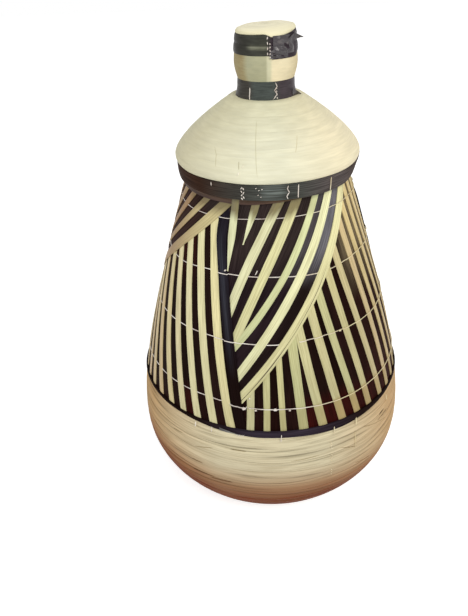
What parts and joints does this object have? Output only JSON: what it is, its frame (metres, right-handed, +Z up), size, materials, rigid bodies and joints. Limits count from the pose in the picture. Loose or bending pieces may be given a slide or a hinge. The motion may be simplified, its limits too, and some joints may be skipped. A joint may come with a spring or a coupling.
{
  "type": "lidded basket",
  "caption": "Tall round basket with a plain bowl, a striped tapering neck, a black waist hoop and a lift-off domed lid with a wrapped knob.",
  "frame": {"origin": "centre of the flat underside of the base disc", "axes": "+Z up through the knob, -Y towards the front that the picture shows, +X to the right as seen from the front"},
  "size_m": [0.27, 0.27, 0.4673],
  "materials": {
    "coil_fibre": "rough",
    "bowl_splint": "satin",
    "straw_splint": "satin",
    "green_straw_splint": "satin",
    "dark_splint": "satin",
    "black_splint": "semi-gloss",
    "white_thread": "matte",
    "brown_hoop": "matte",
    "lid_splint": "satin"
  },
  "bodies": {
    "basket": {"base_disc": "coil_fibre", "body_coil_wall": "coil_fibre", "bowl_course_1": "bowl_splint", "bowl_course_2": "bowl_splint", "bowl_course_3": "bowl_splint", "bowl_course_4": "bowl_splint", "bowl_course_5": "bowl_splint", "bowl_course_6": "bowl_splint", "mouth_hoop": "brown_hoop", "waist_hoop": "black_splint", "upright_pale_1": "straw_splint", "upright_dark_1": "dark_splint", "slant_pale_1": "green_straw_splint", "slant_dark_1": "dark_splint", "edge_splint_1": "black_splint", "upright_pale_2": "straw_splint", "upright_dark_2": "dark_splint", "slant_pale_2": "green_straw_splint", "slant_dark_2": "dark_splint", "edge_splint_2": "black_splint", "upright_pale_3": "straw_splint", "upright_dark_3": "dark_splint", "slant_pale_3": "green_straw_splint", "slant_dark_3": "dark_splint", "edge_splint_3": "black_splint", "upright_pale_4": "straw_splint", "upright_dark_4": "dark_splint", "slant_pale_4": "green_straw_splint", "slant_dark_4": "dark_splint", "edge_splint_4": "black_splint", "thread_ring_1": "white_thread", "thread_ring_2": "white_thread", "thread_ring_3": "white_thread", "thread_ring_4": "white_thread"},
    "lid": {"lid_cone": "coil_fibre", "lid_collar": "coil_fibre", "lid_course_1": "lid_splint", "lid_course_2": "lid_splint", "lid_course_3": "lid_splint", "lid_course_4": "lid_splint", "lid_course_5": "lid_splint", "lid_rim_band": "black_splint", "knob_foot_wrap": "black_splint", "knob_waist_wrap": "lid_splint", "knob_upper_wrap": "black_splint", "knob_top_wrap": "black_splint", "knob_core": "coil_fibre", "knob_cap": "lid_splint"}
  },
  "joints": [
    {"name": "lid_lift", "type": "slide", "parent": "basket", "child": "lid", "axis": [0, 0, 1], "range_m": [0, 0.12]}
  ]
}
